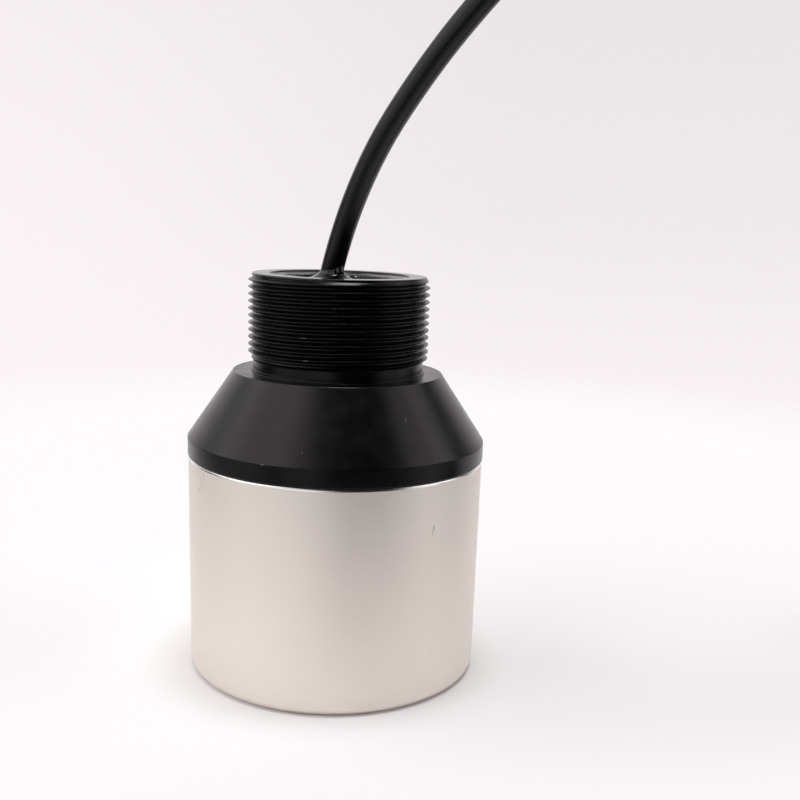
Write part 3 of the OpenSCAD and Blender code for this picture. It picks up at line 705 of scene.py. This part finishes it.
def steps_to(count):
    """The shares of a way at the ends of its equal steps."""
    return [i / count for i in range(1, count + 1)]


def blend(first, last, t):
    """A value that goes from first to last while t goes from 0 to 1."""
    return first + (last - first) * t


def potting_rows():
    """Rows of the potting's surface from the cable out to the wall.

    Each has its share of the way from the cable's axis to the neck's, its radius, its height, how
    far up the flare it is from 0 to 1, and how rough it is.
    """
    cable_r = CABLE_D / 2
    pit = POTTING_PIT_Z
    rows = [(0, inside * cable_r, pit, 1, 0) for inside in (0.5, 0.97)]
    for t in [0] + steps_to(FLARE_ROWS):
        turn = math.radians(90) * t
        out = cable_r + FLARE_GAP + FLARE_W * (1 - math.cos(turn)) ** FLARE_POWER
        rows.append((0, out, pit, 1 - math.sin(turn), FLARE_ROUGH))
    for t in steps_to(PIT_ROWS):
        rows.append((eased(t), blend(cable_r + FLARE_W, LIP_IN_R, t), pit, 0, PIT_ROUGH))
    for t in steps_to(LIP_ROWS):
        up = blend(pit, POTTING_LIP_Z, eased(t))
        rows.append((1, blend(LIP_IN_R, LIP_OUT_R, t), up, 0, PIT_ROUGH * (1 - 0.6 * t)))
    for t in steps_to(RIM_ROWS):
        up = blend(POTTING_LIP_Z, POTTING_EDGE_Z, t * t)
        rows.append((1, blend(LIP_OUT_R, WALL_R, t), up, 0, RIM_ROUGH * (1 - t)))
    return rows


def off_climb(angle):
    """How far an angle around the cable is from where the resin climbs highest."""
    return abs((angle - CLIMB_AT + math.pi) % math.tau - math.pi)


def noise_around(circle, angle):
    """Noise that closes after a whole turn."""
    radius, level = circle
    return noise.noise(around(radius, angle, level))


def flare_height(angle):
    """How far the resin climbs the cable at an angle around it."""
    uneven = FLARE_UNEVEN * noise_around(FLARE_NOISE, angle)
    return FLARE_H + CLIMB_H * (1 - eased(off_climb(angle) / CLIMB_SPREAD)) + uneven


def potting_point(row, angle, bubbles):
    """A point of the potting's surface, in mm."""
    share, r, height, climbed, rough = row
    z = height + climbed * flare_height(angle)
    middle = on_cable_axis(z) * (1 - share)
    if share == 1 and r < WALL_R - 1:
        r += LIP_WANDERS * noise_around(LIP_NOISE, angle)
    if climbed > WRINKLES_FROM and rough:
        off = off_climb(angle)
        wrinkled = climbed * (1 - eased(off / CLIMB_SPREAD))
        fold = noise.noise(Vector((WRINKLES_AROUND * angle, WRINKLES_UP * z, 2)))
        r += WRINKLE * wrinkled * (1 + WRINKLE_FOLD * fold)
        off_bead = math.hypot(off * CABLE_D / 2, z - BEAD_Z) / BEAD_R
        r += BEAD_OUT * math.sqrt(max(0, 1 - off_bead * off_bead))
    x, y = middle.x + r * math.cos(angle), middle.y + r * math.sin(angle)
    z += rough * sum(
        part * noise.noise(Vector((x, y, level)) * rate) for rate, part, level in ROUGH_NOISE)
    if rough > BUBBLE_ROUGH and not climbed:
        for bubble_x, bubble_y, bubble_r in bubbles:
            apart = math.hypot(x - bubble_x, y - bubble_y) / bubble_r
            z -= BUBBLE_DEPTH * bubble_r * math.sqrt(max(0, 1 - apart * apart))
    return Vector((x, y, z))


def paint_resin(name, roughness, specular):
    """Black casting resin: glossy, or rough with a low specular level that is painted shade."""
    finish = Finish(name, RESIN, roughness, specular=specular)
    finish.vary(0.0012, tone=0.3, rough=0.05, depth=0.00001, detail=3.0)
    return finish.done()


def make_potting():
    """The resin: a flare around the cable, a rough sunk middle, and a smooth climb to the bore."""
    draw = random.Random(BUBBLE_SEED)
    bubbles = []
    for _ in range(BUBBLES):
        a, r = draw.uniform(0, math.tau), draw.uniform(*BUBBLES_BETWEEN)
        bubbles.append((r * math.cos(a), r * math.sin(a), draw.uniform(*BUBBLE_R)))
    angles = [math.tau * k / POTTING_SIDES for k in range(POTTING_SIDES)]
    rows = [[potting_point(row, a, bubbles) for a in angles] for row in potting_rows()]
    rows.append([around(WALL_R, a, DAM_Z) for a in angles])
    points, rings = [on_cable_axis(rows[0][0].z) * MM], [[0] * POTTING_SIDES]
    for row in rows:
        rings.append(range(len(points), len(points) + POTTING_SIDES))
        points += [p * MM for p in row]
    rings.append([len(points)] * POTTING_SIDES)
    points.append(Vector((0, 0, DAM_Z)) * MM)
    mesh = mesh_of("potting_fill", (points, wall(rings, flip=True)))
    glossy = paint_resin("black_resin", roughness=0.12, specular=0.5)
    add_piece("potting_fill", mesh, glossy, ["potting"], 60)
    # The sunk middle's copy is rougher, and its low specular level is painted shade that darkens
    # the recess
    shaded_copy = paint_resin("rough_shade_painted_resin", roughness=0.5, specular=0.12)
    paint_between(mesh, shaded_copy, [(DAM_Z, SHADED_RESIN_Z)])


# The coil's tie and the stripped cores

# The cores leave the jacket in a ring, spread out to lanes side by side, and sink to the coil
END_L = 32
END_PARTS = 48
CORE_R = 0.85
CORE_RING_R = 2.2
CORE_SIDES = 20
# The share of the way over which a core spreads, and over which it sinks
END_SPREAD = 0.6
END_SINK = 0.85
LANE_W = 2.6
# The bare copper at each tip: its strands, how far they stand out and how they turn
BARE_L = 7
BARE_R = 0.6
BARE_SIDES = 28
STRANDS = 7
STRAND_RELIEF = 0.12
STRAND_TWIST = 0.55
# Each core's name, lane and colour. The drain wire is bare all along.
ENDS = [("red", 3, RED), ("black", 1, BLACK), ("white", -1, WHITE), ("blue", 0, BLUE),
        ("drain", 2, None)]


def tube(line, radius, sides, lobes=0):
    """Points and faces of a closed tube. Lobes make it a bundle of twisted strands."""
    points, rings = [], []
    side = Vector((0, 0, 1))
    for i, place in enumerate(line):
        ahead = (line[min(i + 1, len(line) - 1)] - line[max(i - 1, 0)]).normalized()
        side = (side - side.dot(ahead) * ahead).normalized()
        other = ahead.cross(side)
        rings.append(range(len(points), len(points) + sides))
        for k in range(sides):
            a = math.tau * k / sides
            relief = STRAND_RELIEF * math.cos(lobes * a + STRAND_TWIST * i) if lobes else 0
            r = radius * (1 + relief)
            points.append((place + r * (math.cos(a) * side + math.sin(a) * other)) * MM)
    faces = wall(rings)
    for ring, way in ((rings[0], -1), (rings[-1], 1)):
        middle = len(points)
        points.append(sum((points[i] for i in ring), Vector()) / sides)
        for k in range(sides):
            pair = [ring[k], ring[(k + 1) % sides]]
            faces.append([middle, *pair[::way]])
    return points, faces


def end_line(k, lane, radius):
    """Where one stripped core lies, from the jacket's end outwards."""
    angle = math.tau * (k + 0.5) / len(ENDS)
    out, up = CORE_RING_R * math.cos(angle), CORE_RING_R * math.sin(angle)
    jacket_end = coil_point(WIND_TO)
    turn_r = math.hypot(*(jacket_end - COIL_AT).xy)
    layer_top = (TOP_LAYER - BOTTOM_LAYER) * CABLE_D
    low = layer_top + radius + LAY_GAP - jacket_end.z
    line = []
    for t in [0] + steps_to(END_PARTS):
        r = turn_r + blend(out, lane * LANE_W, eased(t / END_SPREAD))
        a = math.radians(WIND_TO) + (LAY_GAP + t * END_L) / turn_r
        z = jacket_end.z + blend(up, low, eased(t / END_SINK))
        line.append(Vector((*COIL_AT.xy, 0)) + around(r, a, z))
    return line


def make_ends():
    """The stripped cores at the cable's end, each with its bare tip, and the drain wire."""
    tinned = plain("tinned_strands", TINNED, 0.34, metallic=1.0, grain=0.0003)
    pieces = []
    for k, (name, lane, colour) in enumerate(ENDS):
        line = end_line(k, lane, CORE_R if colour else BARE_R)
        bare_from = round(len(line) * (1 - BARE_L / END_L)) if colour else 0
        parts = [tube(line[max(0, bare_from - 2):], BARE_R, BARE_SIDES, STRANDS)]
        if colour:
            parts.insert(0, tube(line[:bare_from + 1], CORE_R, CORE_SIDES))
        mesh = mesh_of(f"stripped_{name}", *parts)
        wire = plain(f"insulation_{name}", colour, 0.42) if colour else tinned
        piece = add_piece(f"stripped_{name}", mesh, wire, [f"end_{name}"], 60)
        if colour:
            mesh.materials.append(tinned)
            first = len(parts[0][1])
            for face in mesh.polygons[first:]:
                face.material_index = 1
        pieces.append(piece)
    return pieces


# The tie's soft edge, and its head: its size, its edges, and how far out its middle lies
TIE_EDGE = 0.25
TIE_HEAD = Vector((4.4, 5.5, 5.5))
TIE_HEAD_EDGE = 0.6
TIE_HEAD_OUT = CABLE_D + TIE_T + 2


def band_line(width, height, bend):
    """A closed line round the bundle: a rectangle with round corners, in its own plane."""
    steps = 8
    corners = [(-1, -1, 180), (1, -1, 270), (1, 1, 0), (-1, 1, 90)]
    line = []
    for sx, sy, start in corners:
        for s in range(steps + 1):
            a = math.radians(start + 90 * s / steps)
            line.append((sx * (width / 2 - bend) + bend * math.cos(a),
                         sy * (height / 2 - bend) + bend * math.sin(a)))
    return line


def make_tie():
    """The tie: a thin band with soft edges around the bundle, and its head."""
    height = corner("coil_tie", 1).z - corner("coil_tie", 0).z
    width = 2 * CABLE_D + 2 * LAY_GAP
    bend = CABLE_D / 2 - 2 * LAY_GAP
    inside = band_line(width, height - 2 * TIE_T, bend)
    outside = band_line(width + 2 * TIE_T, height, bend + TIE_T)
    half, soft = TIE_W / 2, TIE_EDGE
    section = [(0, -half + soft), (0, half - soft), (soft, half), (1 - soft, half),
               (1, half - soft), (1, -half + soft), (1 - soft, -half), (soft, -half)]
    turn_r = OUTER_TURN_R - CABLE_D / 2
    place = Matrix.Translation(Vector((COIL_AT.x, COIL_AT.y, height / 2)))
    place = place @ Matrix.Rotation(math.radians(TIE_AT), 4, "Z")
    points, rings = [], []
    for (ix, iy), (ox, oy) in zip(inside, outside):
        rings.append(range(len(points), len(points) + len(section)))
        for deep, aside in section:
            x, z = blend(ix, ox, deep), blend(iy, oy, deep)
            points.append(place @ Vector((turn_r + x, aside, z)) * MM)
    faces = wall(rings + rings[:1])
    head = bmesh.new()
    bmesh.ops.create_cube(head, size=1)
    bmesh.ops.scale(head, vec=TIE_HEAD, verts=head.verts)
    bmesh.ops.bevel(
        head, geom=head.edges[:], offset=TIE_HEAD_EDGE, segments=3, affect="EDGES", profile=0.5)
    at = place @ Matrix.Translation((turn_r + TIE_HEAD_OUT, 0, TIE_HEAD.z / 2))
    bmesh.ops.transform(head, matrix=at, verts=head.verts)
    head.verts.index_update()
    head_part = ([v.co * MM for v in head.verts], [[v.index for v in f.verts] for f in head.faces])
    head.free()
    mesh = mesh_of("bundle_tie", (points, faces), head_part)
    black = plain("black_nylon", (0.012, 0.012, 0.013), 0.45)
    return add_piece("bundle_tie", mesh, black, ["coil_tie"], 40)


# The pieces, with the cord and what is on it first

cable = make_cable()
tie = make_tie()
ends = make_ends()
make_cup()
make_cap()
make_potting()


# The pieces inside the sealed housing keep their solids

# Each slot's colour, roughness, and 1 if it is bare metal
INNER_LOOKS = {
    "seal_rubber": ((0.10, 0.025, 0.015), 0.6, 0),
    "bond_epoxy": ((0.50, 0.38, 0.16), 0.25, 0),
    "mass_aluminium": ((0.80, 0.80, 0.81), 0.32, 1),
    "mass_steel": ((0.50, 0.51, 0.52), 0.35, 1),
    "bolt_steel": ((0.12, 0.12, 0.13), 0.4, 1),
    "piezo_ceramic": ((0.50, 0.42, 0.24), 0.55, 0),
    "electrode_brass": ((0.72, 0.52, 0.22), 0.3, 1),
    "sleeve_white": ((0.80, 0.80, 0.77), 0.5, 0),
    "foam_cream": ((0.70, 0.60, 0.38), 0.9, 0),
    "board_green": ((0.01, 0.09, 0.03), 0.4, 0),
    "ferrite": ((0.02, 0.02, 0.023), 0.6, 0),
    "bobbin_nylon": ((0.74, 0.70, 0.56), 0.45, 0),
    "winding_copper": ((0.60, 0.22, 0.08), 0.35, 1),
    "screw_brass": ((0.76, 0.56, 0.24), 0.3, 1),
    "capacitor_red": ((0.28, 0.02, 0.01), 0.3, 0),
    "sensor_epoxy": ((0.55, 0.17, 0.02), 0.35, 0),
    "wire_red": (RED, 0.42, 0),
    "wire_black": (BLACK, 0.42, 0),
    "wire_white": (WHITE, 0.42, 0),
    "wire_blue": (BLUE, 0.42, 0),
    "tinned_copper": (TINNED, 0.34, 1),
    "dam_foam": ((0.08, 0.08, 0.085), 0.9, 0),
    "tie_nylon": ((0.76, 0.75, 0.70), 0.45, 0),
}


def dress_inner_nodes():
    """Gives each node that stays visible a procedural material for its slot."""
    paints = {}
    for subpart in frame["record"]["subparts"]:
        node, slot = subpart["node"], subpart["material_slot"]
        if slot not in INNER_LOOKS or frame["nodes"][node].hide_render:
            continue
        if slot not in paints:
            paints[slot] = plain(f"inner_{slot}", *INNER_LOOKS[slot])
        data = frame["nodes"][node].data
        data.materials.clear()
        data.materials.append(paints[slot])


dress_inner_nodes()


# The floor, the backdrop and the light

# In metres. The floor thins out into the backdrop between two distances from its middle.
FLOOR_R = 1.5
FLOOR_SIDES = 96
FLOOR_MIDDLE = (0.04, 0.2)
FLOOR_FADES = (0.27, 0.56)
FLOOR_COLOUR = (0.95, 0.92, 0.935, 1)


def make_floor():
    """A round pale floor, which takes the object's shadow."""
    data = bpy.data.meshes.new("floor")
    built = bmesh.new()
    bmesh.ops.create_circle(built, cap_ends=True, segments=FLOOR_SIDES, radius=FLOOR_R)
    built.to_mesh(data)
    built.free()
    floor = bpy.data.objects.new("floor", data)
    floor.location = (*FLOOR_MIDDLE, 0)
    bpy.context.scene.collection.objects.link(floor)
    material = bpy.data.materials.new("pale_floor")
    material.use_nodes = True
    tree = material.node_tree
    tree.nodes.clear()
    place = add_node(tree, "ShaderNodeTexCoord").outputs["Object"]
    far = add_node(tree, "ShaderNodeVectorMath", {0: place}, operation="LENGTH").outputs["Value"]
    share = spread(tree, far, *FLOOR_FADES, 0, 1, "SMOOTHSTEP")
    paper = add_node(tree, "ShaderNodeBsdfDiffuse", {"Color": FLOOR_COLOUR}).outputs[0]
    clear = add_node(tree, "ShaderNodeBsdfTransparent").outputs[0]
    both = add_node(tree, "ShaderNodeMixShader", {0: share, 1: paper, 2: clear}).outputs[0]
    add_node(tree, "ShaderNodeOutputMaterial", {"Surface": both})
    data.materials.append(material)


# What lights the object, seen as directions: azimuth from +X towards +Y and elevation, in degrees,
# the angles at which each soft lamp is full and gone, and its radiance
LAMPS = [
    (-172, 42, 14, 40, 1.12),
    (-135, 50, 4, 26, 0.35),
    (-160, 6, 10, 35, 0.83),
    (-116, 4, 8, 31, 0.98),
    (1, 39, 4, 27, 1.0),
    (-8, 6, 12, 38, 0.88),
    (90, 20, 24, 62, 0.62),
    (150, 28, 6, 30, 0.45),
    (-20, 87, 3, 16, 13.4),
]
# The plain radiance of the room above and below the level of the floor, and where they meet
AIR = 0.012
BELOW = 0.03
HORIZON = (-0.12, 0.06)
# The backdrop is one pale paper, and loses a share of its light upwards and one to the right
PAPER = (0.965, 0.915, 0.94)
LOST_UPWARDS = 0.06
LOST_ASIDE = 0.09
# As directions: where the light falls off upwards, where the loss to the right sets in above the
# floor, where left turns into right, and where the backdrop begins behind the object and ends
UPWARDS = (-0.22, 0.19)
ASIDE_SETS_IN = (-0.22, 0.0)
LEFT_TO_RIGHT = (-0.35, 0.2)
BACKDROP_BEGINS = (0.4, 0.85)
BACKDROP_ENDS = (0.25, 0.5)


def lamplight(tree, way, up):
    """The radiance that comes from a direction: the room's own and the lamps'."""
    light = spread(tree, up, *HORIZON, BELOW, AIR, "SMOOTHSTEP")
    for azimuth, elevation, full, gone, radiance in LAMPS:
        a, e = math.radians(azimuth), math.radians(elevation)
        aim = (math.cos(a) * math.cos(e), math.sin(a) * math.cos(e), math.sin(e))
        near = add_node(tree, "ShaderNodeVectorMath", {0: way, 1: aim}, operation="DOT_PRODUCT")
        edges = math.cos(math.radians(gone)), math.cos(math.radians(full))
        lobe = spread(tree, near.outputs["Value"], *edges, 0, radiance, "SMOOTHSTEP")
        light = calc(tree, "ADD", light, lobe)
    return light


def backdrop_colour(tree, across, up):
    """The backdrop's colour: its paper, dimmer higher up and to the right."""
    rise = spread(tree, up, *UPWARDS, 0, 1)
    above = calc(tree, "MULTIPLY_ADD", calc(tree, "MULTIPLY", rise, rise), -LOST_UPWARDS, 1)
    right = spread(tree, across, *LEFT_TO_RIGHT, 0, 1, "SMOOTHSTEP")
    right = calc(tree, "MULTIPLY", right, spread(tree, up, *ASIDE_SETS_IN, 0, 1))
    aside = calc(tree, "MULTIPLY_ADD", right, -LOST_ASIDE, 1)
    return mixed(tree, calc(tree, "MULTIPLY", above, aside), shade(PAPER, 0), shade(PAPER))


def make_light():
    """The world: soft lamps for the object, and a pale backdrop for the camera and for gloss."""
    world = bpy.data.worlds.new("studio")
    bpy.context.scene.world = world
    world.use_nodes = True
    tree = world.node_tree
    tree.nodes.clear()
    way = add_node(tree, "ShaderNodeTexCoord").outputs["Generated"]
    across, back, up = add_node(tree, "ShaderNodeSeparateXYZ", {0: way}).outputs
    light = lamplight(tree, way, up)
    tint = add_node(tree, "ShaderNodeCombineColor", {0: light, 1: light, 2: light}).outputs[0]
    room = add_node(tree, "ShaderNodeBackground", {"Color": tint, "Strength": 1.0}).outputs[0]
    seen = backdrop_colour(tree, across, up)
    backdrop = add_node(tree, "ShaderNodeBackground", {"Color": seen, "Strength": 1.0}).outputs[0]

    # The backdrop stands behind the object: the camera sees it, and so do gloss and glass there
    ray = add_node(tree, "ShaderNodeLightPath").outputs
    mirror = calc(tree, "MAXIMUM", ray["Is Glossy Ray"], ray["Is Transmission Ray"])
    behind = spread(tree, back, *BACKDROP_BEGINS, 0, 1, "SMOOTHSTEP")
    low_enough = spread(tree, up, *BACKDROP_ENDS, 1, 0, "SMOOTHSTEP")
    mirrored = calc(tree, "MULTIPLY", mirror, calc(tree, "MULTIPLY", behind, low_enough))
    share = calc(tree, "MAXIMUM", ray["Is Camera Ray"], mirrored)
    both = add_node(tree, "ShaderNodeMixShader", {0: share, 1: room, 2: backdrop}).outputs[0]
    add_node(tree, "ShaderNodeOutputWorld", {"Surface": both})


make_floor()
make_light()
bpy.context.scene.view_settings.view_transform = "Standard"
